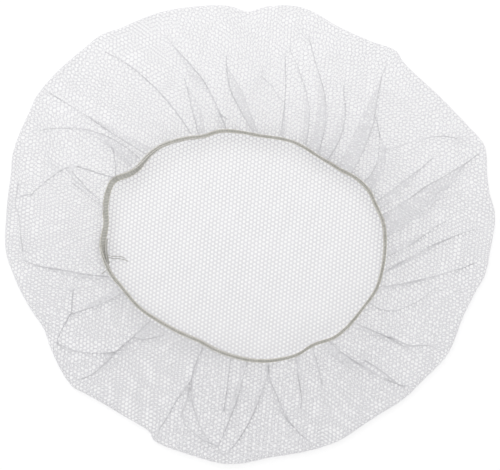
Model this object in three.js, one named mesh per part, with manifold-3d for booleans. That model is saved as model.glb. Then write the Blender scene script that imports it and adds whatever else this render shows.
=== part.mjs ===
// A disposable hairnet lying with its opening up, in millimetres, +Z up.
// One round cut of fine net makes a hollow bag. The crown lies flat, its edge rolls over at
// the outline, and the skirt comes back over the crown to a slack elastic loop, gathered in
// pleats that fan outward from the loop. Bearings are in degrees, anticlockwise from +X as
// seen from above, and the origin is on the table under the middle of the net.

import * as THREE from "three";
import Module from "manifold-3d";

const wasm = await Module();
wasm.setup();

// Net: the outline's size, the cloth's wall, and how high the bag stands
const NET_WIDTH = 294; // along X
const NET_DEPTH = 275; // along Y
const NET_WALL = 1;
const EDGE_HEIGHT = 7; // over the roll at the outline
const SHOULDER_HEIGHT = 14; // over the gathers just outside the mouth
const PUFF_HEIGHT = 1; // swell of the cloth between gathers

// Elastic: the loop's middle line, seen from above, and its flat section
const MOUTH_WIDTH = 168.6; // along X
const MOUTH_DEPTH = 135.6; // along Y
const MOUTH_SHIFT_X = -2.7;
const MOUTH_SHIFT_Y = -7.3;
const BAND_WIDTH = 3.4;
const BAND_THICKNESS = 1.2;
const SEAM_GAP = 0.3; // between the elastic and what touches it
const TAIL_LENGTH = 16;
const TAIL_BEARING = 182;
const TAIL_WIDTH = 3;
const TAIL_THICKNESS = 0.9;

// Pleats: each is the net folded back on itself, two more layers of cloth
const PLEAT_WIDTH = 12; // across the widest, at its foot
const PLEAT_RISE = 1.5;
const PLEAT_ROOT = NET_WALL / 2; // how deep a pleat is set in the skirt's wall
const PLEAT_TIP = 0.9; // width where a pleat runs out
const PLEAT_EDGE = 0.25; // the folded side's own width, seen from above
const FOOT_REACH = 0.02; // where a pleat starts, as a share of the skirt

// Fineness of the faceted surfaces
const COLUMNS = 96;
const BAND_STEPS = 90;
const TAIL_STEPS = 6;
const ROLL_OUTSIDE = [-90, -50, -15, 20, 55]; // degrees round the roll, up from the table
const SKIRT_ABOVE = [1, 0.84, 0.68, 0.54, 0.42, 0.31, 0.21, 0.12, 0.05, 0]; // shares, inward
const SKIRT_BELOW = [0, 0.12, 0.26, 0.42, 0.6, 0.8]; // shares, outward
const ROLL_INSIDE = [90, 35, -35, -90];
const PLEAT_STEPS = 6;

// The rows of a table as objects with the named columns.
function table(columns, rows) {
  return rows.map((row) => Object.fromEntries(columns.map((name, i) => [name, row[i]])));
}

// The net's outline, as shares of half the net's width and depth.
const OUTLINE = table(["bearing", "share"], [
  [0, 0.995], [5, 1.0055], [11, 0.996], [16, 1.008], [22, 1.034], [28, 1.01],
  [35, 0.988], [45, 0.974], [50, 0.98], [53.5, 1], [60, 0.978], [68, 0.978],
  [78, 1.015], [86, 1], [90.5, 0.975], [95, 1.004], [103, 1.023], [110, 1.038],
  [120, 1.046], [125, 1.064], [130, 1.06], [145, 1.062], [150, 1.048], [160, 1.032],
  [165, 1.012], [175, 1], [184, 1.001], [190, 0.984], [200, 0.954], [206, 0.938],
  [211, 0.953], [222, 0.984], [226, 0.968], [232, 0.95], [241, 0.947], [244.5, 0.955],
  [246.5, 0.982], [256, 0.994], [263.5, 1.008], [268, 1.001], [275, 0.978], [286, 0.975],
  [292, 0.972], [298, 0.955], [304, 0.948], [312, 0.955], [318, 0.952], [327, 0.962],
  [337, 0.943], [344, 0.953], [350, 0.978], [356, 0.984],
]);

// The elastic's middle line about the mouth's own middle, as shares of an ellipse of the
// mouth's width and depth.
const MOUTH = table(["bearing", "share"], [
  [0, 0.99], [10, 1], [18, 0.995], [24, 1.005], [32, 0.99], [38, 0.96], [44, 0.95],
  [51, 0.95], [59, 0.97], [66, 0.985], [83, 0.985], [92, 1.01], [102, 1.035], [111, 1.02],
  [119, 1.045], [129, 1.07], [136, 1.06], [144, 1.03], [148, 1.045], [153, 1.1],
  [157, 1.095], [164, 1.055], [171, 1.01], [180, 1.015], [190, 0.99], [199, 0.945],
  [210, 0.925], [220, 0.9], [230, 0.89], [244, 0.895], [254, 0.935], [266, 0.98],
  [278, 1.015], [290, 1.025], [296, 1.02], [303, 0.995], [307, 0.995], [315, 1.02],
  [332, 0.995], [342, 1], [352, 0.99],
]);

// How the elastic turns round its middle line: at 0 degrees it lies flat, at 90 on edge.
const TURN = table(["bearing", "turn"], [
  [20, 84], [60, 92], [110, 82], [136, 66], [149, 14], [164, 4], [176, 12], [187, 74],
  [205, 88], [260, 80], [310, 94],
]);

// The skirt's height from the mouth, at reach 0, to the outline, at reach 1, as shares of
// the rise from the edge to the shoulder.
const SKIRT = table(["reach", "rise"], [
  [0, 0.5], [0.05, 0.8], [0.12, 0.98], [0.2, 1], [0.32, 0.82], [0.46, 0.52], [0.62, 0.25],
  [0.8, 0.07], [1, 0],
]);

// The pleats, with bearings about the net's middle at the foot by the mouth, half way and
// at the tip. from and to are shares of the skirt from mouth to outline. The widths across
// the fold are shares of the widest pleat's, and lean is the side of the fold's free edge.
const PLEATS = table(["foot", "middle", "tip", "from", "to", "footWidth", "middleWidth", "lean"], [
  [4, 13, 20.5, 0, 0.97, 1, 1.04, 1],
  [13.5, 19, 24, 0, 0.6, 0.46, 0.42, 1],
  [24, 31.5, 45, 0, 0.57, 0.5, 0.54, 1],
  [36, 45.5, 53, 0, 0.9, 0.75, 0.75, -1],
  [47.5, 52, 59.5, 0, 0.6, 0.46, 0.46, -1],
  [54, 63, 74, 0, 0.82, 0.5, 0.46, -1],
  [61, 68.3, 78.5, 0, 0.71, 0.35, 0.32, -1],
  [72.5, 76, 79.5, 0, 0.63, 0.3, 0.15, 1],
  [86.5, 94.5, 97, 0, 0.61, 0.38, 0.71, 1],
  [99, 104, 105, 0.1, 0.4, 0.17, 0.15, 1],
  [103, 107, 111.5, 0, 0.83, 0.33, 0.5, -1],
  [113, 111.5, 111.5, 0, 0.47, 0.33, 0.46, 1],
  [118, 120.5, 126.5, 0.02, 0.9, 0.18, 0.2, 1],
  [138, 141, 143, 0, 0.97, 0.42, 0.22, 1],
  [146, 145, 152, 0, 0.88, 0.58, 0.3, -1],
  [158, 163, 169, 0.45, 0.8, 0.17, 0.17, 1],
  [198, 192.5, 187, 0, 0.88, 0.25, 0.35, -1],
  [198, 205, 210, 0.48, 0.97, 0.17, 0.17, 1],
  [204.5, 205.2, 205.5, 0, 0.7, 0.46, 0.35, 1],
  [223, 219.5, 211, 0.27, 0.97, 0.17, 0.18, 1],
  [223.5, 225, 222.5, 0, 0.93, 0.33, 0.71, -1],
  [246.5, 247.1, 246.5, 0, 0.93, 0.2, 0.2, 1],
  [248.8, 251, 263, 0, 0.98, 0.18, 0.18, -1],
  [260.7, 261.1, 261.5, 0, 0.52, 0.17, 0.17, 1],
  [267.5, 264.6, 262, 0, 0.87, 0.28, 0.32, 1],
  [275, 271.3, 264.5, 0, 0.94, 0.22, 0.28, 1],
  [278, 278.7, 285.5, 0, 0.98, 0.18, 0.25, -1],
  [290, 287.8, 285.3, 0, 0.56, 0.32, 0.3, -1],
  [296, 295, 294.3, 0, 0.4, 0.25, 0.22, 1],
  [302.8, 307.2, 313.5, 0, 0.95, 0.5, 0.54, 1],
  [316.5, 320.2, 322.5, 0, 0.76, 0.32, 0.32, 1],
  [328.5, 331, 342.5, 0, 0.62, 0.18, 0.18, -1],
  [335, 343.7, 352, 0, 0.9, 0.28, 0.28, 1],
  [342, 354.6, 361.5, 0, 0.87, 0.25, 0.32, 1],
  [351.5, 358.2, 364, 0, 0.57, 0.46, 0.4, -1],
]);

const FULL_TURN = 360;
const ON_EDGE = Math.PI / 2;
const radians = THREE.MathUtils.degToRad;

// A column's value between two rows, along a smooth curve through them. A table that goes
// round closes on itself after a full turn.
function smoothValue(rows, along, column, at, round = false) {
  const place = round ? THREE.MathUtils.euclideanModulo(at, FULL_TURN) : at;
  const count = rows.length;
  const row = (index) => {
    const lap = round ? Math.floor(index / count) : 0;
    const inside = round ? index - lap * count : THREE.MathUtils.clamp(index, 0, count - 1);
    return { place: rows[inside][along] + lap * FULL_TURN, value: rows[inside][column] };
  };
  const found = rows.findIndex((candidate) => candidate[along] > place);
  const next = found < 0 ? count : found;
  const [before, start, end, after] = [-2, -1, 0, 1].map((step) => row(next + step));
  const span = end.place - start.place;
  if (span <= 0) {
    return start.value;
  }
  const slope = (from, to) => ((to.value - from.value) / (to.place - from.place)) * span;
  const share = (place - start.place) / span;
  const rise = end.value - start.value;
  const leaving = slope(before, end) - rise;
  const arriving = rise - slope(start, after);
  const bend = leaving * (1 - share) + arriving * share;
  return start.value + share * (rise + (1 - share) * bend);
}

// The outline's plan point at a bearing, moved inward by an inset in millimetres.
function outlinePoint(bearing, inset = 0) {
  const share = smoothValue(OUTLINE, "bearing", "share", bearing, true);
  const point = new THREE.Vector2(
    (NET_WIDTH / 2) * share * Math.cos(radians(bearing)),
    (NET_DEPTH / 2) * share * Math.sin(radians(bearing)),
  );
  return point.setLength(point.length() - inset);
}

// The elastic's middle line in plan, at a bearing about the mouth's middle.
function mouthPoint(bearing) {
  const [across, up] = [Math.cos(radians(bearing)), Math.sin(radians(bearing))];
  const ellipse = 1 / Math.hypot(across / (MOUTH_WIDTH / 2), up / (MOUTH_DEPTH / 2));
  const reach = smoothValue(MOUTH, "bearing", "share", bearing, true) * ellipse;
  return new THREE.Vector2(MOUTH_SHIFT_X + reach * across, MOUTH_SHIFT_Y + reach * up);
}

// The outward direction square to the elastic, in plan.
function mouthOutward(bearing) {
  const step = 1.5;
  const along = mouthPoint(bearing + step).sub(mouthPoint(bearing - step)).normalize();
  return new THREE.Vector2(along.y, -along.x);
}

function bandTurn(bearing) {
  return radians(smoothValue(TURN, "bearing", "turn", bearing, true));
}

// How far the turned band reaches to either side of its middle line, in plan.
function bandReach(bearing) {
  const turn = bandTurn(bearing);
  return (Math.abs(Math.cos(turn)) * BAND_WIDTH + Math.abs(Math.sin(turn)) * BAND_THICKNESS) / 2;
}

// The net's rim in plan: just outside the band, at a bearing about the mouth's middle.
function rimAt(mouthBearing) {
  const out = mouthOutward(mouthBearing).multiplyScalar(bandReach(mouthBearing) + SEAM_GAP);
  return mouthPoint(mouthBearing).add(out);
}

// The bearing about the net's middle of a plan point, in the outline's own measure.
function netBearing(point) {
  return THREE.MathUtils.radToDeg(Math.atan2(point.y / NET_DEPTH, point.x / NET_WIDTH));
}

// The bearing about the mouth's middle whose rim point has a bearing about the net's middle.
function mouthBearingFor(bearing) {
  let guess = bearing;
  for (let round = 0; round < 12; round++) {
    const miss = bearing - netBearing(rimAt(guess));
    guess += THREE.MathUtils.euclideanModulo(miss + FULL_TURN / 2, FULL_TURN) - FULL_TURN / 2;
  }
  return guess;
}

// A slow swell of the cloth and the slack elastic, in millimetres.
function puff(bearing) {
  const turn = radians(bearing);
  const waves = 0.5 * Math.sin(5 * turn + 1) + 0.3 * Math.sin(11 * turn + 2) + 0.2 * Math.sin(17 * turn);
  return PUFF_HEIGHT * waves;
}

// The skirt's upper surface, from the rim at reach 0 to the top of the edge's roll at 1.
function skirtPoint(bearing, reach) {
  const rim = rimAt(mouthBearingFor(bearing));
  const plan = rim.lerp(outlinePoint(bearing, EDGE_HEIGHT / 2), reach);
  const rise = smoothValue(SKIRT, "reach", "rise", reach);
  const swell = puff(bearing) * Math.sin(Math.PI * Math.min(1, 0.15 + reach));
  const height = EDGE_HEIGHT + rise * (SHOULDER_HEIGHT - EDGE_HEIGHT) + swell;
  return new THREE.Vector3(plan.x, plan.y, height);
}

// A point on the roll at the outline: angle -90 degrees is on the table, 90 on top.
function rollPoint(bearing, angle, radius) {
  const plan = outlinePoint(bearing, EDGE_HEIGHT / 2 - radius * Math.cos(radians(angle)));
  return new THREE.Vector3(plan.x, plan.y, EDGE_HEIGHT / 2 + radius * Math.sin(radians(angle)));
}

// One closed body from rings that each have as many points. A loop's last ring joins its
// first, and otherwise each end is closed by a fan round its middle.
function ringBody(rings, loop = false) {
  const around = rings[0].length;
  const points = rings.flat();
  const faces = [];
  const joins = loop ? rings.length : rings.length - 1;
  for (let ring = 0; ring < joins; ring++) {
    const here = ring * around;
    const there = ((ring + 1) % rings.length) * around;
    for (let side = 0; side < around; side++) {
      const next = (side + 1) % around;
      faces.push(here + side, here + next, there + next);
      faces.push(here + side, there + next, there + side);
    }
  }
  const close = (ring, turned) => {
    const base = ring * around;
    const middle = new THREE.Vector3();
    rings[ring].forEach((point) => middle.addScaledVector(point, 1 / around));
    points.push(middle);
    for (let side = 0; side < around; side++) {
      const edge = [base + side, base + ((side + 1) % around)];
      faces.push(points.length - 1, ...(turned ? edge.reverse() : edge));
    }
  };
  if (!loop) {
    close(0, true);
    close(rings.length - 1, false);
  }
  return { points, faces };
}

function coordinatesOf(points) {
  return new Float32Array(points.flatMap((point) => point.toArray()));
}

// The body as a solid that can be joined to others.
function solidOf({ points, faces }) {
  const triVerts = new Uint32Array(faces);
  return new wasm.Manifold(new wasm.Mesh({ numProp: 3, vertProperties: coordinatesOf(points), triVerts }));
}

function geometryOf(coordinates, faces) {
  const geometry = new THREE.BufferGeometry();
  geometry.setAttribute("position", new THREE.BufferAttribute(coordinates, 3));
  geometry.setIndex(Array.from(faces));
  return geometry;
}

// One ring of the bag: a point at each column's bearing.
function bagRing(pointAt) {
  return Array.from({ length: COLUMNS }, (_, column) => pointAt((column * FULL_TURN) / COLUMNS));
}

// The plain bag: under the crown, over the roll, in along the skirt, round the rim, and
// back on the inside to the crown's upper face.
function bagBody() {
  const outside = EDGE_HEIGHT / 2;
  const inside = outside - NET_WALL;
  const under = new THREE.Vector3(0, 0, -NET_WALL);
  return ringBody([
    ...ROLL_OUTSIDE.map((angle) => bagRing((bearing) => rollPoint(bearing, angle, outside))),
    ...SKIRT_ABOVE.map((reach) => bagRing((bearing) => skirtPoint(bearing, reach))),
    ...SKIRT_BELOW.map((reach) => bagRing((bearing) => skirtPoint(bearing, reach).add(under))),
    ...ROLL_INSIDE.map((angle) => bagRing((bearing) => rollPoint(bearing, angle, inside))),
  ]);
}

// A value through a foot, a middle and a tip, at a share of the way.
function throughThree(foot, middle, tip, share) {
  const bend = middle - (foot + tip) / 2;
  return foot + (tip - foot) * share + 4 * bend * share * (1 - share);
}

// One pleat: a wedge along its fold line, low on one side and stepped on the other. Its
// sections follow the rim at the foot and turn square to the fold line further out.
function pleatBody(pleat) {
  const start = Math.max(pleat.from, FOOT_REACH);
  const bearingAt = (share) => throughThree(pleat.foot, pleat.middle, pleat.tip, share);
  const reachAt = (share) => start + (pleat.to - start) * share;
  const place = (share) => skirtPoint(bearingAt(share), reachAt(share));
  const rings = [];
  for (let step = 0; step <= PLEAT_STEPS; step++) {
    const share = step / PLEAT_STEPS;
    const [bearing, reach, middle] = [bearingAt(share), reachAt(share), place(share)];
    const [nearer, further] = [place(Math.max(0, share - 0.05)), place(Math.min(1, share + 0.05))];
    const ahead = further.sub(nearer).setZ(0).normalize();
    const degree = skirtPoint(bearing + 0.5, reach).distanceTo(skirtPoint(bearing - 0.5, reach));
    const [footWidth, middleWidth] = [pleat.footWidth * PLEAT_WIDTH, pleat.middleWidth * PLEAT_WIDTH];
    const width = share < 0.5
      ? THREE.MathUtils.lerp(footWidth, middleWidth, share * 2)
      : THREE.MathUtils.lerp(middleWidth, PLEAT_TIP, (share - 0.5) * 2);
    const swelling = pleat.from > 0 ? Math.min(1, 0.4 + 2 * share) : 1;
    const rise = PLEAT_RISE * swelling * (1 - 0.6 * share ** 3);
    const corner = (across, up) => {
      const offset = across * pleat.lean;
      const square = new THREE.Vector3(-ahead.y * offset, ahead.x * offset, 0).add(middle);
      const alongRim = skirtPoint(bearing + offset / degree, reach);
      const point = alongRim.lerp(square, Math.min(1, share * 3));
      return point.setZ(point.z + up);
    };
    const section = [
      corner(-width / 2, -PLEAT_ROOT),
      corner(-width / 5, rise * 0.7),
      corner(width / 2 - PLEAT_EDGE, rise),
      corner(width / 2, -PLEAT_ROOT),
    ];
    rings.push(pleat.lean > 0 ? section.reverse() : section);
  }
  return ringBody(rings);
}

function netBag() {
  let bag = solidOf(bagBody());
  for (const pleat of PLEATS) {
    bag = bag.add(solidOf(pleatBody(pleat)));
  }
  const { vertProperties, triVerts } = bag.getMesh();
  return geometryOf(vertProperties, triVerts);
}

// The corners of the elastic's flat section, across and up, as shares of its size.
const BAND_CORNERS = [
  [-0.5, 0], [-0.36, 0.5], [0.36, 0.5], [0.5, 0], [0.36, -0.5], [-0.36, -0.5],
];

// The section turned round its middle. side is the outward direction in plan.
function bandSection(middle, side, turn, width, thickness) {
  return BAND_CORNERS.map(([across, up]) => {
    const out = across * width * Math.cos(turn) - up * thickness * Math.sin(turn);
    const rise = across * width * Math.sin(turn) + up * thickness * Math.cos(turn);
    return new THREE.Vector3(middle.x + side.x * out, middle.y + side.y * out, middle.z + rise);
  });
}

// The band's middle line, in space: level with the middle of the net's rim.
function bandPoint(mouthBearing) {
  const plan = mouthPoint(mouthBearing);
  const rim = skirtPoint(netBearing(rimAt(mouthBearing)), 0);
  return new THREE.Vector3(plan.x, plan.y, rim.z - NET_WALL / 2);
}

function elasticBand() {
  const rings = Array.from({ length: BAND_STEPS }, (_, step) => {
    const bearing = (step * FULL_TURN) / BAND_STEPS;
    const place = [bandPoint(bearing), mouthOutward(bearing), bandTurn(bearing)];
    return bandSection(...place, BAND_WIDTH, BAND_THICKNESS);
  });
  const { points, faces } = ringBody(rings, true);
  return geometryOf(coordinatesOf(points), faces);
}

// The lapped end: a short strip on edge, just inside the band.
function elasticTail() {
  const across = mouthPoint(TAIL_BEARING).distanceTo(new THREE.Vector2(MOUTH_SHIFT_X, MOUTH_SHIFT_Y));
  const sweep = THREE.MathUtils.radToDeg(TAIL_LENGTH / across);
  const rings = [];
  for (let step = 0; step <= TAIL_STEPS; step++) {
    const bearing = TAIL_BEARING + (step / TAIL_STEPS - 0.5) * sweep;
    const side = mouthOutward(bearing);
    const inward = bandReach(bearing) + SEAM_GAP + TAIL_THICKNESS / 2;
    const middle = bandPoint(bearing);
    middle.x -= side.x * inward;
    middle.y -= side.y * inward;
    rings.push(bandSection(middle, side, ON_EDGE, TAIL_WIDTH, TAIL_THICKNESS));
  }
  const { points, faces } = ringBody(rings);
  return geometryOf(coordinatesOf(points), faces);
}

const net = new THREE.MeshStandardMaterial({ color: "#e9eaee", roughness: 0.9, metalness: 0 });
const elastic = new THREE.MeshStandardMaterial({ color: "#bdbab0", roughness: 0.8, metalness: 0 });

const hairnet = new THREE.Group();
function addPiece(name, geometry, material) {
  const mesh = new THREE.Mesh(geometry, material);
  mesh.name = name;
  hairnet.add(mesh);
}

addPiece("net_bag", netBag(), net);
addPiece("elastic_band", elasticBand(), elastic);
addPiece("elastic_tail", elasticTail(), elastic);

export default hairnet;
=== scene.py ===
import math

import bpy
import numpy as np
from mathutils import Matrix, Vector


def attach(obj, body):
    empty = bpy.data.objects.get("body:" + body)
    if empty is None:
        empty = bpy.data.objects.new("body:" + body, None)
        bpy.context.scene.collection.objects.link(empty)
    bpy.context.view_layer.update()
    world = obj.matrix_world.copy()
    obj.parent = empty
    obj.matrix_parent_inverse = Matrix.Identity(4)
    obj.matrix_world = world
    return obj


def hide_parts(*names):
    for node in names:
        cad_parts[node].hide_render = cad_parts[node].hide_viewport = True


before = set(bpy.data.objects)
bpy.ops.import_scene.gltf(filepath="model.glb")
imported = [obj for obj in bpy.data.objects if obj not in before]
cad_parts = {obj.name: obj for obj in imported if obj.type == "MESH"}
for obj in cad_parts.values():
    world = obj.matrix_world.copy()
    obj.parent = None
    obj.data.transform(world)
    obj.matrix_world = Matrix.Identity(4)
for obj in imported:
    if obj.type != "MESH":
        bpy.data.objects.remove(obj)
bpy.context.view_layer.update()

# A disposable hairnet lying with its opening up. Sizes are in millimetres and angles in
# degrees until a mesh is made, and bearings run anticlockwise from +X seen from above.

rng = np.random.default_rng(21)
MM = 0.001

# Net and elastic, as in the solid model
NET_WIDTH = 294
NET_DEPTH = 275
NET_WALL = 1
EDGE_HEIGHT = 7
SHOULDER_HEIGHT = 14
PUFF_HEIGHT = 1
MOUTH_WIDTH = 168.6
MOUTH_DEPTH = 135.6
MOUTH_SHIFT = (-2.7, -7.3)
BAND_WIDTH = 3.4
BAND_THICKNESS = 1.2
SEAM_GAP = 0.3
TAIL_LENGTH = 16
TAIL_BEARING = 182
TAIL_WIDTH = 3
TAIL_THICKNESS = 0.9
PLEAT_WIDTH = 12
PLEAT_RISE = 1.5
PLEAT_TIP = 0.9

# The net's outline: bearing, and share of half the net's width and depth
OUTLINE = [
    (0, 0.995), (5, 1.0055), (11, 0.996), (16, 1.008), (22, 1.034), (28, 1.01),
    (35, 0.988), (45, 0.974), (50, 0.98), (53.5, 1), (60, 0.978), (68, 0.978),
    (78, 1.015), (86, 1), (90.5, 0.975), (95, 1.004), (103, 1.023), (110, 1.038),
    (120, 1.046), (125, 1.064), (130, 1.06), (145, 1.062), (150, 1.048), (160, 1.032),
    (165, 1.012), (175, 1), (184, 1.001), (190, 0.984), (200, 0.954), (206, 0.938),
    (211, 0.953), (222, 0.984), (226, 0.968), (232, 0.95), (241, 0.947), (244.5, 0.955),
    (246.5, 0.982), (256, 0.994), (263.5, 1.008), (268, 1.001), (275, 0.978), (286, 0.975),
    (292, 0.972), (298, 0.955), (304, 0.948), (312, 0.955), (318, 0.952), (327, 0.962),
    (337, 0.943), (344, 0.953), (350, 0.978), (356, 0.984),
]

# The elastic's middle line: bearing about the mouth's middle, and share of an ellipse
MOUTH = [
    (0, 0.99), (10, 1), (18, 0.995), (24, 1.005), (32, 0.99), (38, 0.96), (44, 0.95),
    (51, 0.95), (59, 0.97), (66, 0.985), (83, 0.985), (92, 1.01), (102, 1.035), (111, 1.02),
    (119, 1.045), (129, 1.07), (136, 1.06), (144, 1.03), (148, 1.045), (153, 1.1),
    (157, 1.095), (164, 1.055), (171, 1.01), (180, 1.015), (190, 0.99), (199, 0.945),
    (210, 0.925), (220, 0.9), (230, 0.89), (244, 0.895), (254, 0.935), (266, 0.98),
    (278, 1.015), (290, 1.025), (296, 1.02), (303, 0.995), (307, 0.995), (315, 1.02),
    (332, 0.995), (342, 1), (352, 0.99),
]

# How the elastic turns round its middle line: 0 lies flat, 90 stands on edge
TURN = [
    (20, 84), (60, 92), (110, 82), (136, 66), (149, 14), (164, 4), (176, 12), (187, 74),
    (205, 88), (260, 80), (310, 94),
]

# The skirt's rise from the edge to the shoulder: reach out from the mouth, and share
SKIRT = [
    (0, 0.5), (0.05, 0.8), (0.12, 0.98), (0.2, 1), (0.32, 0.82), (0.46, 0.52), (0.62, 0.25),
    (0.8, 0.07), (1, 0),
]

# The pleats: bearings at the foot, the middle and the tip, reaches from and to, widths at
# the foot and the middle as shares of the widest, and the side of the fold's free edge
PLEATS = [
    (4, 13, 20.5, 0, 0.97, 1, 1.04, 1),
    (13.5, 19, 24, 0, 0.6, 0.46, 0.42, 1),
    (24, 31.5, 45, 0, 0.57, 0.5, 0.54, 1),
    (36, 45.5, 53, 0, 0.9, 0.75, 0.75, -1),
    (47.5, 52, 59.5, 0, 0.6, 0.46, 0.46, -1),
    (54, 63, 74, 0, 0.82, 0.5, 0.46, -1),
    (61, 68.3, 78.5, 0, 0.71, 0.35, 0.32, -1),
    (72.5, 76, 79.5, 0, 0.63, 0.3, 0.15, 1),
    (86.5, 94.5, 97, 0, 0.61, 0.38, 0.71, 1),
    (99, 104, 105, 0.1, 0.4, 0.17, 0.15, 1),
    (103, 107, 111.5, 0, 0.83, 0.33, 0.5, -1),
    (113, 111.5, 111.5, 0, 0.47, 0.33, 0.46, 1),
    (118, 120.5, 126.5, 0.02, 0.9, 0.18, 0.2, 1),
    (138, 141, 143, 0, 0.97, 0.42, 0.22, 1),
    (146, 145, 152, 0, 0.88, 0.58, 0.3, -1),
    (158, 163, 169, 0.45, 0.8, 0.17, 0.17, 1),
    (198, 192.5, 187, 0, 0.88, 0.25, 0.35, -1),
    (198, 205, 210, 0.48, 0.97, 0.17, 0.17, 1),
    (204.5, 205.2, 205.5, 0, 0.7, 0.46, 0.35, 1),
    (223, 219.5, 211, 0.27, 0.97, 0.17, 0.18, 1),
    (223.5, 225, 222.5, 0, 0.93, 0.33, 0.71, -1),
    (246.5, 247.1, 246.5, 0, 0.93, 0.2, 0.2, 1),
    (248.8, 251, 263, 0, 0.98, 0.18, 0.18, -1),
    (260.7, 261.1, 261.5, 0, 0.52, 0.17, 0.17, 1),
    (267.5, 264.6, 262, 0, 0.87, 0.28, 0.32, 1),
    (275, 271.3, 264.5, 0, 0.94, 0.22, 0.28, 1),
    (278, 278.7, 285.5, 0, 0.98, 0.18, 0.25, -1),
    (290, 287.8, 285.3, 0, 0.56, 0.32, 0.3, -1),
    (296, 295, 294.3, 0, 0.4, 0.25, 0.22, 1),
    (302.8, 307.2, 313.5, 0, 0.95, 0.5, 0.54, 1),
    (316.5, 320.2, 322.5, 0, 0.76, 0.32, 0.32, 1),
    (328.5, 331, 342.5, 0, 0.62, 0.18, 0.18, -1),
    (335, 343.7, 352, 0, 0.9, 0.28, 0.28, 1),
    (342, 354.6, 361.5, 0, 0.87, 0.25, 0.32, 1),
    (351.5, 358.2, 364, 0, 0.57, 0.46, 0.4, -1),
]

# Thin creases of the skirt: points as bearing and share of the net's half width and depth
CREASES = [
    [(26.5, 0.94), (28.5, 0.9), (30, 0.85), (31, 0.8), (32, 0.75), (33, 0.68)],
    [(86, 0.69), (82, 0.65), (79, 0.6), (75, 0.57)],
    [(154, 0.75), (155, 0.67), (156, 0.6)],
    [(146.5, 0.68), (150, 0.63), (154, 0.6)],
    [(157, 0.76), (159, 0.7), (161, 0.66)],
    [(158.5, 0.82), (161, 0.72), (164.5, 0.62)],
    [(163, 0.75), (166, 0.67), (169, 0.6)],
    [(170, 0.93), (168, 0.9), (165, 0.865), (160, 0.86)],
    [(167, 0.97), (172, 0.97), (175, 0.945), (180, 0.935), (184, 0.93)],
    [(227, 0.64), (229, 0.61), (231.5, 0.56)],
    [(210, 0.95), (208.5, 0.9), (206.5, 0.86), (205.5, 0.83), (202, 0.8), (198, 0.78)],
    [(211, 0.95), (215, 0.91), (218, 0.86), (220, 0.8), (221.5, 0.7), (223, 0.65)],
    [(263, 1), (261, 0.96), (257, 0.92), (252, 0.87), (250.5, 0.83), (249.5, 0.72)],
    [(146, 0.865), (148, 0.89), (150.5, 0.93)],
    [(282, 0.88), (280, 0.76), (278, 0.65)],
    [(311, 0.72), (312.7, 0.81), (314, 0.9)],
    [(323, 0.72), (324.2, 0.81), (326.5, 0.88)],
]

# Creases and fold edges: how far cloth is drawn in, over what reach, and the width of the line
# where it lies double and gets painted shade for its stacked layers' self-shadow, the shade
# varying in patches
CREASE_DRAW = 3.4
CREASE_REACH = 12
CREASE_SPREAD = 0.5
FOLD_DRAW = 2
FOLD_REACH = 5
FOLD_SPREAD = 0.5
FOLD_SHADE = 0.32
INNER_FOLD_SHARE = 0.6
DRAWN_SHARE = 0.95
DRAWN_LIFT = 0.15
FOLD_SHADE_PATCHES = (0.78, 0.22)
FOLD_SHADE_PATCH_LENGTH = 28

# The net's cells, and the strands between them: wide in the open mouth, fine elsewhere,
# finer still toward the rim and toward the far side
CELL_PITCH = 2.5
CELL_BEARING = 25
CELL_COUNT = 120
OPEN_STRAND_WIDTH = 1.16
SKIRT_STRAND_WIDTH = 0.62
RIM_THINNING = 0.2
FAR_SIDE_THINNING = 0.38
STRAND_DEPTH = 0.2
STRAND_TOP_SHARE = 0.35
CROWN_SLACK = 0.07
SKIRT_SLACK = 0.2
SLACK_LENGTH = 16
OPEN_LIMIT = 1.1
OPEN_FADE = 0.15

# The cloth's way from the crown, round the edge and back over the skirt
CROWN_RISE = 0.3
CROWN_LIFT = 0.5
CROWN_WAVE = 0.1
CROWN_WAVE_LENGTH = 30
CROWN_FADE = 10
ROLL_RADIUS = EDGE_HEIGHT / 2 - CROWN_RISE
ROLL_ARC = math.pi * ROLL_RADIUS
SKIRT_STRETCH = 1.12
EDGE_PIECE = (-0.3, 0.3)
RUFFLES = 84
RUFFLE_RISE = 0.7
RUFFLE_REACH = 0.09

# The folding of the skirt, in rings from the rim outward
PATH_START = 175
PATH_BINS = 260
REACH_LOW = -0.04
GATHER_SPREAD = 22
FOLD_SLOPE = 0.8
MIDDLE_LAYER_LIFT = 0.6
UNDER_LAYER_LIFT = 0.35
PLEAT_LAYERS = 3
AWAY_FROM_RIM = 0.03
PLEAT_FADE = 0.06


def smooth(rows, at, lap=0):
    """Values of a two-column table along a smooth curve, which closes after a lap."""
    places, values = np.array(rows, float).T
    at = np.asarray(at, float)
    if lap:
        at = np.mod(at, lap)
        places = np.concatenate([places[-2:] - lap, places, places[:2] + lap])
        values = np.concatenate([values[-2:], values, values[:2]])
    else:
        places = np.concatenate([places[:1], places, places[-1:]])
        values = np.concatenate([values[:1], values, values[-1:]])
    start = np.clip(np.searchsorted(places, at, side="right") - 1, 1, len(places) - 3)
    before = start - 1
    end = start + 1
    after = start + 2
    span = places[end] - places[start]
    share = np.clip((at - places[start]) / span, 0, 1)
    rise = values[end] - values[start]
    leaving = (values[end] - values[before]) / (places[end] - places[before]) * span - rise
    arriving = rise - (values[after] - values[start]) / (places[after] - places[start]) * span
    bend = leaving * (1 - share) + arriving * share
    return values[start] + share * (rise + (1 - share) * bend)


def net_plan(bearing, share):
    """Plan coordinates at a bearing and a share of the net's half width and depth."""
    turn = np.radians(bearing)
    return NET_WIDTH / 2 * share * np.cos(turn), NET_DEPTH / 2 * share * np.sin(turn)


def outline_point(bearing, inset=0.0):
    """The outline's plan point, moved in along its ray."""
    x, y = net_plan(bearing, smooth(OUTLINE, bearing, 360))
    keep = 1 - inset / np.hypot(x, y)
    return np.stack([x * keep, y * keep], -1)


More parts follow.
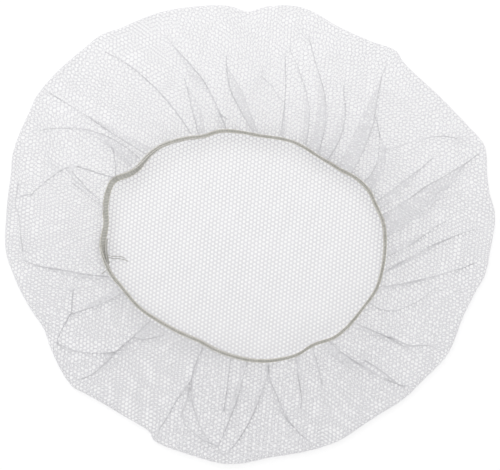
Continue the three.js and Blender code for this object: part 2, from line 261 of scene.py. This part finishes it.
def mouth_point(bearing):
    """The elastic's middle line in plan, at a bearing about the mouth's middle."""
    turn = np.radians(bearing)
    x = np.cos(turn)
    y = np.sin(turn)
    share = smooth(MOUTH, bearing, 360)
    reach = share / np.hypot(x / (MOUTH_WIDTH / 2), y / (MOUTH_DEPTH / 2))
    return np.stack([MOUTH_SHIFT[0] + reach * x, MOUTH_SHIFT[1] + reach * y], -1)


def mouth_outward(bearing):
    """The level direction straight out of the elastic's middle line."""
    along = mouth_point(np.asarray(bearing) + 1.5) - mouth_point(np.asarray(bearing) - 1.5)
    along /= np.linalg.norm(along, axis=-1, keepdims=True)
    return np.stack([along[..., 1], -along[..., 0]], -1)


def band_reach(bearing):
    """Half of the elastic's width in plan, as it is turned at a bearing."""
    turn = np.radians(smooth(TURN, bearing, 360))
    return (np.abs(np.cos(turn)) * BAND_WIDTH + np.abs(np.sin(turn)) * BAND_THICKNESS) / 2


def rim_at(bearing):
    """The net's rim beside the elastic, at a bearing about the mouth's middle."""
    out = mouth_outward(bearing) * (band_reach(bearing) + SEAM_GAP)[..., None]
    return mouth_point(bearing) + out


def net_bearing(point):
    """A point's bearing about the net's middle, on the net's own ellipse."""
    return np.degrees(np.arctan2(point[..., 1] / NET_DEPTH, point[..., 0] / NET_WIDTH))


def signed(angle):
    """The same angle between -180 and 180."""
    return np.mod(angle + 180, 360) - 180


# The rim at every quarter degree about the net's middle
BEARINGS = np.arange(0, 360, 0.25)
guess = BEARINGS.copy()
for _ in range(12):
    guess = guess + signed(BEARINGS - net_bearing(rim_at(guess)))
RIM = rim_at(guess)


def rim_point(bearing):
    """The net's rim in plan, at a bearing about the net's middle."""
    x = np.interp(bearing, BEARINGS, RIM[:, 0], period=360)
    y = np.interp(bearing, BEARINGS, RIM[:, 1], period=360)
    return np.stack([x, y], -1)


def puff(bearing):
    """The skirt's gentle swell round the net."""
    turn = np.radians(bearing)
    waves = 0.5 * np.sin(5 * turn + 1) + 0.3 * np.sin(11 * turn + 2) + 0.2 * np.sin(17 * turn)
    return PUFF_HEIGHT * waves


def skirt_point(bearing, reach):
    """The skirt's upper surface, from the rim at reach 0 to the roll at 1."""
    bearing = np.asarray(bearing, float)
    reach = np.asarray(reach, float)
    rim = rim_point(bearing)
    plan = rim + (outline_point(bearing, EDGE_HEIGHT / 2) - rim) * reach[..., None]
    rise = smooth(SKIRT, np.clip(reach, 0, 1))
    swell = puff(bearing) * np.sin(np.pi * np.clip(0.15 + reach, 0, 1))
    height = EDGE_HEIGHT + rise * (SHOULDER_HEIGHT - EDGE_HEIGHT) + swell
    return np.concatenate([plan, height[..., None]], -1)


def through_three(foot, middle, tip, share):
    """A curve that passes through three values at shares 0, one half and 1."""
    bend = middle - (foot + tip) / 2
    return foot + (tip - foot) * share + 4 * bend * share * (1 - share)


# The skirt's length from the roll to the rim, at every quarter degree
REACH_STEPS = 50
across = np.linspace(0, 1, REACH_STEPS)
grid = skirt_point(
    np.repeat(BEARINGS[:, None], REACH_STEPS, 1), np.repeat(across[None], len(BEARINGS), 0)
)
SKIRT_LENGTH = np.linalg.norm(np.diff(grid, axis=1), axis=-1).sum(1)
mean_steps = np.linalg.norm(np.diff(grid, axis=1), axis=-1).mean(0)
TRAVEL = np.concatenate([[0], np.cumsum(mean_steps[::-1])])
TRAVEL /= TRAVEL[-1]


def pleat_spans(reach):
    """Start and end bearings, lift and lean of the folds that cross a ring at a reach."""
    found = []
    for foot, middle, tip, low, high, foot_width, middle_width, lean in PLEATS:
        if reach > high or (low > AWAY_FROM_RIM and reach < low):
            continue
        share = np.clip((reach - low) / (high - low), 0, 1)
        at = through_three(foot, middle, tip, share)
        if share < 0.5:
            width = PLEAT_WIDTH * (foot_width + (middle_width - foot_width) * 2 * share)
        else:
            wide = PLEAT_WIDTH * middle_width
            width = wide + (PLEAT_TIP - wide) * (2 * share - 1)
        width *= min(1, (high - reach) / PLEAT_FADE)
        if low > AWAY_FROM_RIM:
            width *= min(1, (reach - low) / PLEAT_FADE)
        inside = max(reach, 0)
        degree = np.linalg.norm(skirt_point(at + 0.5, inside) - skirt_point(at - 0.5, inside))
        half = width / degree / 2
        lift = PLEAT_RISE * (1 - 0.6 * share ** 3) * min(1, width / 1.5)
        found.append(((at - PATH_START) % 360, half, lift, lean))
    spans = []
    done = 0
    for middle, half, lift, lean in sorted(found):
        start = max(middle - half, done + 0.1)
        done = max(middle + half, start + 0.02)
        spans.append((start, done, lift, lean))
    return spans


def cloth_path(reach):
    """The cloth round a ring as it folds: how much cloth lies before each turning point, the
    turning point's gathered bearing, and the cloth's lift there; with the gathered measure
    of every bearing."""
    spans = pleat_spans(reach)
    fine = np.arange(0, 360.5, 0.5)
    layers = np.ones_like(fine)
    for start, end, _, _ in spans:
        before_end = np.clip((end - fine) * 2 + 0.5, 0, 1)
        after_start = np.clip((fine - start) * 2 + 0.5, 0, 1)
        layers += (PLEAT_LAYERS - 1) * before_end * after_start
    body = layers[:-1]
    waves = np.fft.rfftfreq(len(body), 0.5)
    blur = np.exp(-2 * (np.pi * waves * GATHER_SPREAD) ** 2)
    soft = np.fft.irfft(np.fft.rfft(body) * blur, len(body))
    measure = np.concatenate([[0], np.cumsum(0.5 / soft)])
    turns = [(0, 0)]
    ends = [0] + [span[1] for span in spans]
    starts = [span[0] for span in spans] + [360]
    for place, (start, end, lift, lean) in enumerate(spans):
        lead = start - min(FOLD_SLOPE, (start - ends[place]) / 2)
        trail = end + min(FOLD_SLOPE, (starts[place + 1] - end) / 2)
        slope = min(FOLD_SLOPE, end - start)
        middle = MIDDLE_LAYER_LIFT * lift
        under = UNDER_LAYER_LIFT * lift
        if lean > 0:
            turns += [(lead, 0), (start, middle), (end, lift), (start, under)]
            turns.append((start + slope, 0))
        else:
            turns += [(end - slope, 0), (end, under), (start, lift), (end, middle)]
            turns.append((trail, 0))
    turns.append((360, 0))
    bearings, lifts = np.array(turns).T
    gathered = np.interp(bearings, fine, measure)
    cloth = np.concatenate([[0], np.cumsum(np.abs(np.diff(gathered)) + 1e-6)])
    return cloth * 360 / cloth[-1], gathered, lifts, fine, measure


PATHS = [cloth_path(reach) for reach in np.linspace(REACH_LOW, 1, PATH_BINS + 1)]


def fold_skirt(bearing, reach):
    """World bearing and lift of cloth points from their own bearing and the ring's reach."""
    place = np.clip((reach - REACH_LOW) / (1 - REACH_LOW) * PATH_BINS, 0, PATH_BINS - 1e-6)
    ring = place.astype(int)
    part = place - ring
    local = np.mod(bearing - PATH_START, 360)
    results = np.zeros((2, 2, len(bearing)))
    for index, (cloth, gathered, lifts, fine, measure) in enumerate(PATHS):
        for side in (0, 1):
            here = np.flatnonzero(ring + side == index)
            if len(here):
                met = np.interp(local[here], cloth, gathered)
                results[side, 0, here] = np.interp(met, measure, fine)
                results[side, 1, here] = np.interp(local[here], cloth, lifts)
    both = results[0] * (1 - part) + results[1] * part
    return both[0] + PATH_START, both[1]


def draw_to_line(points, line, draw, spread, reach):
    """Draws cloth in towards a crease in plan, so that it doubles there, and lifts it.
    Returns how near to the crease each point comes to lie."""
    line = np.asarray(line, float)
    best = np.full(len(points), 1e9)
    offset = np.zeros((len(points), 2))
    for a, b in zip(line[:-1], line[1:]):
        along = b - a
        share = np.clip(((points[:, :2] - a) @ along) / (along @ along), 0, 1)
        gap = points[:, :2] - (a + share[:, None] * along)
        distance = np.linalg.norm(gap, axis=1)
        nearer = distance < best
        best[nearer] = distance[nearer]
        offset[nearer] = gap[nearer]
    way = offset / np.maximum(best, 1e-6)[:, None]
    pull = np.minimum(draw * np.exp(-((best / reach) ** 2)), DRAWN_SHARE * best)
    points[:, :2] -= way * pull[:, None]
    near = np.exp(-(((best - pull) / spread) ** 2))
    points[:, 2] += DRAWN_LIFT * draw * near
    return near


def soft_noise(x, y, scale, seed):
    """A smooth seeded field with waves of about a given length."""
    own = np.random.default_rng(seed)
    total = np.zeros_like(x)
    for _ in range(10):
        turn = own.uniform(0, 2 * np.pi)
        wave = 2 * np.pi / (scale * own.uniform(0.7, 1.6))
        total += np.sin(wave * (x * np.cos(turn) + y * np.sin(turn)) + own.uniform(0, 2 * np.pi))
    return total / math.sqrt(10)


def crease_line(crease):
    """A crease's points in plan."""
    bearing, share = np.array(crease).T
    return np.stack(net_plan(bearing, share), -1)


def pleat_edges(pleat):
    """Both edges of a pleat in plan, each with the share of the fold's full draw."""
    foot, middle, tip, low, high, foot_width, middle_width, lean = pleat
    share = np.linspace(0, 1, 12)
    reach = low + (high - low) * share
    at = through_three(foot, middle, tip, share)
    half = PLEAT_WIDTH / 2 * np.interp(share, (0, 0.5, 1), (foot_width, middle_width, 0))
    chord = skirt_point(at + 0.5, reach) - skirt_point(at - 0.5, reach)
    degree = np.linalg.norm(chord, axis=-1)
    edges = []
    for side in (-1, 1):
        line = skirt_point(at + side * half / degree, reach)[:, :2]
        edges.append((line, 1 if side == lean else INNER_FOLD_SHARE))
    return edges


def lay_skirt(bearing, reach):
    """The skirt's cloth, pleated, ruffled at the rim and creased; with its painted fold shade.
    """
    world, lift = fold_skirt(bearing, reach)
    placed = skirt_point(world, reach)
    turn = np.radians(bearing)
    ruffle = np.sin(turn * RUFFLES + 2.5 * np.sin(turn * 9))
    placed[:, 2] += lift - 0.5 * NET_WALL
    placed[:, 2] += RUFFLE_RISE * ruffle * np.exp(-np.maximum(reach, 0) / RUFFLE_REACH)
    # How strongly painted shade darkens each point along the creases and fold edges, where the
    # cloth lies double
    fold_shade_mask = np.zeros(len(placed))
    for crease in CREASES:
        line = crease_line(crease)
        near = draw_to_line(placed, line, CREASE_DRAW, CREASE_SPREAD, CREASE_REACH)
        fold_shade_mask = np.maximum(fold_shade_mask, near)
    for pleat in PLEATS:
        for line, part in pleat_edges(pleat):
            near = draw_to_line(placed, line, part * FOLD_DRAW, FOLD_SPREAD, FOLD_REACH)
            fold_shade_mask = np.maximum(fold_shade_mask, part * near)
    return placed, fold_shade_mask


def lay_cloth(u, v):
    """Places flat cloth points on the net: positions, travel past the roll as a share of
    the skirt, and the strength of the painted shade along the folds."""
    bearing = np.degrees(np.arctan2(v / NET_DEPTH, u / NET_WIDTH))
    radius = np.hypot(u, v)
    edge = np.linalg.norm(outline_point(bearing), axis=-1)
    flat = edge - EDGE_HEIGHT / 2
    length = np.interp(bearing, BEARINGS, SKIRT_LENGTH, period=360)
    travel = (radius - flat - ROLL_ARC) / length * SKIRT_STRETCH
    past_rim = np.maximum(travel - 1, 0)
    reach = np.where(travel < 0, 1, 1 - np.interp(travel, TRAVEL, across) - past_rim)
    swell = CROWN_LIFT + CROWN_WAVE * soft_noise(u, v, CROWN_WAVE_LENGTH, 3)
    crown_z = CROWN_RISE + swell * np.clip((flat - radius) / CROWN_FADE, 0, 1)
    points = np.stack([u, v, crown_z], -1)

    rolled = (radius > flat) & (travel <= 0)
    angle = (radius - flat) / ROLL_RADIUS - np.pi / 2
    out = flat + ROLL_RADIUS * np.cos(angle)
    roll_z = EDGE_HEIGHT / 2 + ROLL_RADIUS * np.sin(angle)
    wrapped = np.stack([u / radius * out, v / radius * out, roll_z], -1)
    points[rolled] = wrapped[rolled]

    skirt = travel > 0
    points[skirt], fold_shade_mask = lay_skirt(bearing[skirt], reach[skirt])
    points[:, 2] = np.maximum(points[:, 2], CROWN_RISE)
    painted_fold_shade = np.zeros(len(points))
    # The painted shade along the folds, made weaker and stronger in soft patches
    patches = soft_noise(u[skirt], v[skirt], FOLD_SHADE_PATCH_LENGTH, 5)
    fade = np.clip(FOLD_SHADE_PATCHES[0] + FOLD_SHADE_PATCHES[1] * patches, 0.3, 1)
    painted_fold_shade[skirt] = fold_shade_mask * fade
    return points, travel, painted_fold_shade


# The cloth's knots: two to a cell, each with three neighbours
first = math.radians(CELL_BEARING)
second = math.radians(CELL_BEARING + 60)
size = 2 * CELL_COUNT
i, j, kind = np.meshgrid(np.arange(size), np.arange(size), np.arange(2), indexing="ij")
steps_i = (i - CELL_COUNT + (1 + kind) / 3).ravel() * CELL_PITCH
steps_j = (j - CELL_COUNT + (1 + kind) / 3).ravel() * CELL_PITCH
flat_x = steps_i * math.cos(first) + steps_j * math.cos(second)
flat_y = steps_i * math.sin(first) + steps_j * math.sin(second)
i = i.ravel()
j = j.ravel()
kind = kind.ravel()


def knot(at_i, at_j, at_kind):
    """A knot's number from its cell and its kind."""
    inside_i = np.clip(at_i, 0, size - 1)
    inside_j = np.clip(at_j, 0, size - 1)
    return (inside_i * size + inside_j) * 2 + at_kind


neighbours = np.where(
    (kind == 0)[:, None],
    np.stack([knot(i, j, 1), knot(i - 1, j, 1), knot(i, j - 1, 1)], -1),
    np.stack([knot(i, j + 1, 0), knot(i, j, 0), knot(i + 1, j, 0)], -1),
)
MEETS_AT = (1, 2, 0)

far_out = np.hypot(flat_x / NET_WIDTH, flat_y / NET_DEPTH)
slack = np.interp(far_out, (0.25, 0.45), (CROWN_SLACK, SKIRT_SLACK))
cloth_x = flat_x + slack * soft_noise(flat_x, flat_y, SLACK_LENGTH, 1)
cloth_y = flat_y + slack * soft_noise(flat_x, flat_y, SLACK_LENGTH, 2)
laid, travel, painted_fold_shade = lay_cloth(cloth_x, cloth_y)
in_cloth = travel <= 1

# Each knot: a notch between every two strands on one side, and one point on the other
toward = laid[neighbours] - laid[:, None]
lengths = np.linalg.norm(toward, axis=-1, keepdims=True)
toward = toward / np.maximum(lengths, 1e-6)
upward = sum(np.cross(toward[:, k], toward[:, (k + 1) % 3]) for k in range(3))
upward /= np.maximum(np.linalg.norm(upward, axis=-1, keepdims=True), 1e-6)
mouth_x = (laid[:, 0] - MOUTH_SHIFT[0]) / (MOUTH_WIDTH / 2)
mouth_y = (laid[:, 1] - MOUTH_SHIFT[1]) / (MOUTH_DEPTH / 2)
mouth_share = np.hypot(mouth_x, mouth_y)
open_part = np.clip((OPEN_LIMIT - mouth_share) / OPEN_FADE, 0, 1) * (travel < 0)
width = SKIRT_STRAND_WIDTH + (OPEN_STRAND_WIDTH - SKIRT_STRAND_WIDTH) * open_part
width *= 1 - RIM_THINNING * np.clip(travel, 0, 1)
width *= 1 - FAR_SIDE_THINNING * laid[:, 1] / (NET_DEPTH / 2)
notches = []
for k in range(3):
    pair = toward[:, k] + toward[:, (k + 1) % 3]
    long = np.linalg.norm(pair, axis=-1)
    half_sine = np.sqrt(np.clip(1 - (long / 2) ** 2, 0.05, 1))
    away = np.minimum(width / 2 / half_sine, 1.2 * width)
    side = pair / np.maximum(long, 1e-6)[:, None]
    notches.append(laid + side * away[:, None] + upward * STRAND_DEPTH * STRAND_TOP_SHARE)
bottoms = laid - upward * STRAND_DEPTH * (1 - STRAND_TOP_SHARE)
corners = np.stack([*notches, bottoms], 1)


def build_mesh(name, points, faces, material, rounded=True):
    """A mesh object from points in millimetres."""
    mesh = bpy.data.meshes.new(name)
    mesh.from_pydata((np.asarray(points) * MM).tolist(), [], [list(face) for face in faces])
    mesh.update()
    if rounded:
        mesh.shade_smooth()
    piece = bpy.data.objects.new(name, mesh)
    bpy.context.scene.collection.objects.link(piece)
    mesh.materials.append(material)
    return piece


def net_piece(name, chosen):
    """The closed mesh of the strands and knots of one part of the cloth."""
    faces = []
    own = np.flatnonzero(chosen)
    top = own[:, None] * 4 + np.array([0, 1, 2])
    faces.append(top)
    for k in range(3):
        strand = own[kind[own] == 0]
        strand = strand[in_cloth[neighbours[strand, k]]]
        other = neighbours[strand, k]
        m = MEETS_AT[k]
        a_right = strand * 4 + (k - 1) % 3
        a_left = strand * 4 + k
        a_low = strand * 4 + 3
        b_right = other * 4 + m
        b_left = other * 4 + (m - 1) % 3
        b_low = other * 4 + 3
        faces.append(np.stack([a_right, b_right, b_left], -1))
        faces.append(np.stack([a_right, b_left, a_left], -1))
        faces.append(np.stack([a_left, b_left, b_low], -1))
        faces.append(np.stack([a_left, b_low, a_low], -1))
        faces.append(np.stack([a_right, a_low, b_low], -1))
        faces.append(np.stack([a_right, b_low, b_right], -1))
        away = ~chosen[other]
        faces.append(np.stack([b_right, b_low, b_left], -1)[away])
        bare = own[kind[own] == 0]
        bare = bare[~in_cloth[neighbours[bare, k]]]
        faces.append(np.stack([bare * 4 + (k - 1) % 3, bare * 4 + 3, bare * 4 + k], -1))
        far = own[kind[own] == 1]
        far = far[~chosen[neighbours[far, k]]]
        faces.append(np.stack([far * 4 + (k - 1) % 3, far * 4 + 3, far * 4 + k], -1))
    faces = np.concatenate(faces)
    used, faces = np.unique(faces, return_inverse=True)
    faces = faces.reshape(-1, 3)
    piece = build_mesh(name, corners.reshape(-1, 3)[used], faces, net_yarn, rounded=False)
    # The painted fold shade's strength at each point, read by the yarn material
    layer = piece.data.attributes.new("painted_fold_shade", "FLOAT", "POINT")
    layer.data.foreach_set("value", painted_fold_shade[used // 4].astype(np.float32))
    return piece


# Materials
def new_material(name, color, roughness):
    """A plain material, with its nodes, links and shader."""
    material = bpy.data.materials.new(name)
    material.use_nodes = True
    nodes = material.node_tree.nodes
    shader = nodes["Principled BSDF"]
    shader.inputs["Base Color"].default_value = (*color, 1)
    shader.inputs["Roughness"].default_value = roughness
    return material, nodes, material.node_tree.links, shader


def varied_color(nodes, links, shader, stops, scale):
    """Base colour that varies with a soft noise over the object."""
    place = nodes.new("ShaderNodeTexCoord")
    noise = nodes.new("ShaderNodeTexNoise")
    noise.inputs["Scale"].default_value = scale
    noise.inputs["Detail"].default_value = 3
    ramp = nodes.new("ShaderNodeValToRGB")
    ramp.color_ramp.elements[0].position = 0.3
    ramp.color_ramp.elements[1].position = 0.7
    ramp.color_ramp.elements[0].color = (*stops[0], 1)
    ramp.color_ramp.elements[1].color = (*stops[1], 1)
    links.new(place.outputs["Object"], noise.inputs["Vector"])
    links.new(noise.outputs["Fac"], ramp.inputs["Fac"])
    links.new(ramp.outputs["Color"], shader.inputs["Base Color"])
    return place


def add_bump(nodes, links, shader, place, scale, strength, distance):
    """Fine twist and fuzz of the yarn."""
    twist = nodes.new("ShaderNodeTexNoise")
    twist.inputs["Scale"].default_value = scale
    twist.inputs["Detail"].default_value = 2
    bump = nodes.new("ShaderNodeBump")
    bump.inputs["Strength"].default_value = strength
    bump.inputs["Distance"].default_value = distance
    links.new(place.outputs["Object"], twist.inputs["Vector"])
    links.new(twist.outputs["Fac"], bump.inputs["Height"])
    links.new(bump.outputs["Normal"], shader.inputs["Normal"])


net_yarn, nodes, links, shader = new_material("net_yarn", (0.81, 0.81, 0.83), 0.5)
shader.inputs["Sheen Weight"].default_value = 0.2
place = varied_color(nodes, links, shader, [(0.825, 0.822, 0.841), (0.852, 0.848, 0.867)], 60)
add_bump(nodes, links, shader, place, 2600, 0.4, 0.0002)

# Painted shade: the yarn's colour darkens where the net lies double along a fold, standing in
# for the self-shadow of the stacked layers
fold = nodes.new("ShaderNodeAttribute")
fold.attribute_name = "painted_fold_shade"
span = nodes.new("ShaderNodeMapRange")
span.inputs["From Min"].default_value = 0.45
span.inputs["From Max"].default_value = 0.95
span.inputs["To Max"].default_value = FOLD_SHADE
shade = nodes.new("ShaderNodeMix")
shade.data_type = "RGBA"
# The painted shade's dark grey
shade.inputs["B"].default_value = (0.3, 0.298, 0.315, 1)
open_color = shader.inputs["Base Color"].links[0].from_socket
links.new(fold.outputs["Fac"], span.inputs["Value"])
links.new(span.outputs["Result"], shade.inputs["Factor"])
links.new(open_color, shade.inputs["A"])
links.new(shade.outputs["Result"], shader.inputs["Base Color"])

elastic_yarn, nodes, links, shader = new_material("elastic_yarn", (0.46, 0.454, 0.42), 0.65)
shader.inputs["Sheen Weight"].default_value = 0.25
place = varied_color(nodes, links, shader, [(0.38, 0.376, 0.345), (0.54, 0.532, 0.5)], 420)
add_bump(nodes, links, shader, place, 1500, 0.6, 0.0003)

stitch_yarn, nodes, links, shader = new_material("stitch_yarn", (0.84, 0.82, 0.76), 0.6)
shader.inputs["Sheen Weight"].default_value = 0.2
place = varied_color(nodes, links, shader, [(0.68, 0.66, 0.59), (0.86, 0.84, 0.79)], 300)
add_bump(nodes, links, shader, place, 2400, 0.5, 0.0002)

# The net in three pieces of one cloth
crown = in_cloth & (travel < EDGE_PIECE[0])
edge = in_cloth & (travel >= EDGE_PIECE[0]) & (travel < EDGE_PIECE[1])
skirt = in_cloth & (travel >= EDGE_PIECE[1])
net_crown = net_piece("net_crown", crown)
net_edge = net_piece("net_edge", edge)
net_skirt = net_piece("net_skirt", skirt)
for piece in (net_crown, net_edge, net_skirt):
    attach(piece, "root")
    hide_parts("net_bag")


# The elastic, its overlock stitches and its loose ends
def tube(points, radius, sides=6, closed=False):
    """A round thread along points. An open one thins at both ends."""
    points = np.asarray(points, float)
    if closed:
        ahead = np.roll(points, -1, 0) - np.roll(points, 1, 0)
    else:
        ahead = np.gradient(points, axis=0)
    ahead /= np.linalg.norm(ahead, axis=1, keepdims=True)
    up = np.array([0.0, 0.0, 1.0]) + 0.001
    side = np.cross(ahead, up)
    side /= np.maximum(np.linalg.norm(side, axis=1, keepdims=True), 1e-6)
    over = np.cross(side, ahead)
    turn = np.arange(sides) * 2 * np.pi / sides
    sizes = np.full(len(points), radius)
    if not closed:
        sizes[0] *= 0.6
        sizes[-1] *= 0.6
    toward_side = np.cos(turn)[None, :, None] * side[:, None]
    ring = toward_side + np.sin(turn)[None, :, None] * over[:, None]
    mesh_points = (points[:, None] + ring * sizes[:, None, None]).reshape(-1, 3)
    faces = []
    count = len(points)
    for k in range(count if closed else count - 1):
        n = (k + 1) % count
        for s in range(sides):
            t = (s + 1) % sides
            faces.append((k * sides + s, k * sides + t, n * sides + t, n * sides + s))
    if not closed:
        faces.append(tuple(range(sides))[::-1])
        faces.append(tuple((count - 1) * sides + s for s in range(sides)))
    return mesh_points, faces


def join(parts):
    """Several threads as the points and faces of one mesh."""
    points = []
    faces = []
    start = 0
    for part_points, part_faces in parts:
        points.append(part_points)
        faces += [tuple(start + corner for corner in face) for face in part_faces]
        start += len(part_points)
    return np.concatenate(points), faces


def band_frame(bearing):
    """Middle, outward direction and turn of the elastic at bearings about the mouth."""
    plan = mouth_point(bearing)
    rim = skirt_point(net_bearing(rim_at(bearing)), np.zeros_like(bearing))
    middle = np.concatenate([plan, rim[..., 2:] - NET_WALL / 2], -1)
    side = mouth_outward(bearing)
    turn = np.radians(smooth(TURN, bearing, 360))
    return middle, np.concatenate([side, np.zeros_like(side[..., :1])], -1), turn


def band_place(bearing, across, up):
    """A point in the elastic's own section."""
    middle, side, turn = band_frame(bearing)
    out = across * np.cos(turn) - up * np.sin(turn)
    rise = across * np.sin(turn) + up * np.cos(turn)
    point = middle + side * out[..., None]
    point[..., 2] += rise
    return point


def strip(bearings, width, thickness, closed, place_at, sides=20, ribs=5):
    """A flat elastic with lengthwise ribs and a slightly puckered face."""
    turn = np.arange(sides) * 2 * np.pi / sides
    flat = np.sign(np.cos(turn)) * np.abs(np.cos(turn)) ** 0.45
    thick = np.sign(np.sin(turn)) * np.abs(np.sin(turn)) ** 0.7
    rows = []
    for k, bearing in enumerate(bearings):
        pucker = 1 + 0.05 * math.sin(k * 2.1) + 0.03 * math.sin(k * 0.37)
        rib = 1 + 0.12 * np.cos(flat * np.pi * ribs)
        wide = flat * width / 2 * (0.94 + 0.06 * math.sin(k * 0.9))
        high = thick * thickness / 2 * rib * pucker * 0.9
        rows.append(place_at(np.full(sides, bearing), wide, high))
    faces = []
    count = len(rows)
    for k in range(count if closed else count - 1):
        n = (k + 1) % count
        for s in range(sides):
            t = (s + 1) % sides
            faces.append((k * sides + s, n * sides + s, n * sides + t, k * sides + t))
    if not closed:
        faces.append(tuple(range(sides)))
        faces.append(tuple((count - 1) * sides + s for s in range(sides))[::-1])
    return np.concatenate(rows), faces


BAND_RINGS = 620
TAIL_RINGS = 26
band_points, band_faces = strip(
    np.arange(BAND_RINGS) * 360 / BAND_RINGS, BAND_WIDTH, BAND_THICKNESS, True, band_place
)
band = build_mesh("elastic_woven", band_points, band_faces, elastic_yarn)

tail_reach = np.linalg.norm(mouth_point(TAIL_BEARING) - np.array(MOUTH_SHIFT))
tail_sweep = math.degrees(TAIL_LENGTH / tail_reach)


def tail_place(bearing, across, up):
    """A point in the lapped end's section, which stands against the elastic's inner side."""
    middle, side, _ = band_frame(bearing)
    inward = band_reach(bearing) + SEAM_GAP + TAIL_THICKNESS / 2
    point = middle - side * (inward + up)[..., None]
    point[..., 2] += across
    return point


tail_bearings = TAIL_BEARING + np.linspace(0.5, -0.5, TAIL_RINGS) * tail_sweep
tail_points, tail_faces = strip(tail_bearings, TAIL_WIDTH, TAIL_THICKNESS, False, tail_place)
tail = build_mesh("elastic_lapped_end", tail_points, tail_faces, elastic_yarn)

# Overlock stitches: thin loops round the elastic, and zigzag threads along its four edges
STITCHES = 290
STITCH_RADIUS = 0.2
LOOP_RADIUS = 0.11
LOOP_STEPS = 12
LOOP_GAP_WIDE = 0.12
LOOP_GAP_THICK = 0.14
ZIGZAG_STEPS = 4
ZIGZAG_INSET = 0.1
ZIGZAG_SWING = 0.25
ZIGZAG_GAP = 0.22
THREAD_SIDES = 5
parts = []
for number in range(STITCHES):
    bearing = (number + rng.uniform(-0.15, 0.15)) * 360 / STITCHES
    turn = np.linspace(0, 2 * np.pi, LOOP_STEPS, endpoint=False)
    slant = rng.uniform(0.25, 0.45)
    wide = BAND_WIDTH / 2 + LOOP_GAP_WIDE
    thick = BAND_THICKNESS / 2 + LOOP_GAP_THICK
    flat = np.sign(np.cos(turn)) * np.abs(np.cos(turn)) ** 0.5 * wide
    up = np.sign(np.sin(turn)) * np.abs(np.sin(turn)) ** 0.6 * thick
    spot = bearing + slant * np.cos(turn) + 0.12 * np.sin(turn)
    parts.append(tube(band_place(spot, flat, up), LOOP_RADIUS, THREAD_SIDES, True))
steps = STITCHES * ZIGZAG_STEPS
turn = np.arange(steps) * 360 / steps
zigzag = np.sin(np.arange(steps) * np.pi / 2)
for edge_side in (-1, 1):
    for face_side in (-1, 1):
        wide = edge_side * (BAND_WIDTH / 2 - ZIGZAG_INSET + ZIGZAG_SWING * zigzag)
        up = face_side * (BAND_THICKNESS / 2 + ZIGZAG_GAP + 0.1 * np.roll(zigzag, 1))
        parts.append(tube(band_place(turn, wide, up), STITCH_RADIUS, THREAD_SIDES, True))

# Loose thread ends at the join: two inside the mouth and one outside
ENDS = [
    [(-85.6, -12, 12.4), (-82, -13.2, 10.6), (-78.5, -13.1, 6.5), (-74.6, -14.2, 2.4)],
    [(-85.4, -13.6, 11.4), (-81.5, -14.4, 8.5), (-77.6, -14.6, 3.6), (-73, -16, 1.6)],
    [(-83.6, -19.5, 13.6), (-85.4, -20.9, 15.2), (-88.6, -23.6, 15.4)],
]
END_RADIUS = 0.21
END_STEPS = 16
ends = []
for points in ENDS:
    walk = np.linspace(0, len(points) - 1, END_STEPS)
    axes = [smooth(list(enumerate(values)), walk) for values in zip(*points)]
    ends.append(tube(np.stack(axes, -1), END_RADIUS))
end_faces = sum(len(faces) for _, faces in ends)
parts += ends
stitch_points, stitch_faces = join(parts)
stitches = build_mesh("overlock_stitches", stitch_points, stitch_faces, stitch_yarn)
stitches.data.materials.append(elastic_yarn)
for face in stitches.data.polygons[-end_faces:]:
    face.material_index = 1

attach(band, "root")
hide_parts("elastic_band")
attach(tail, "root")
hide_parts("elastic_tail")
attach(stitches, "root")


# Floor, light and camera
bpy.ops.mesh.primitive_plane_add(size=6)
floor = bpy.context.object
floor.name = "floor"
pale, _, _, shader = new_material("pale_floor", (0.62, 0.62, 0.62), 0.9)
shader.inputs["Emission Color"].default_value = (1, 1, 1, 1)
shader.inputs["Emission Strength"].default_value = 0.47
floor.data.materials.append(pale)


def add_light(name, place, width, watts):
    """A round area light aimed at the frame's origin."""
    data = bpy.data.lights.new(name, "AREA")
    data.shape = "DISK"
    data.size = width
    data.energy = watts
    light = bpy.data.objects.new(name, data)
    light.location = place
    light.rotation_euler = (-Vector(place)).to_track_quat("-Z", "Y").to_euler()
    bpy.context.scene.collection.objects.link(light)


add_light("key", (-0.2, 0.5, 1.08), 1.6, 7)
add_light("fill", (0.9, -0.9, 1.8), 1.4, 1.5)

world = bpy.data.worlds.new("studio")
world.use_nodes = True
world.node_tree.nodes["Background"].inputs["Color"].default_value = (1, 1, 1, 1)
world.node_tree.nodes["Background"].inputs["Strength"].default_value = 0.6
bpy.context.scene.world = world
bpy.context.scene.view_settings.view_transform = "Standard"

VIEW_WIDTH = 300
SENSOR_WIDTH = 36
CAMERA_HEIGHT = 2.8
CAMERA_Y = -0.0003
camera_data = bpy.data.cameras.new("camera")
camera_data.sensor_width = SENSOR_WIDTH
seen = VIEW_WIDTH * MM
camera_data.lens = SENSOR_WIDTH * (CAMERA_HEIGHT - EDGE_HEIGHT / 2 * MM) / seen
camera = bpy.data.objects.new("camera", camera_data)
camera.location = (0, CAMERA_Y, CAMERA_HEIGHT)
bpy.context.scene.collection.objects.link(camera)
bpy.context.scene.camera = camera
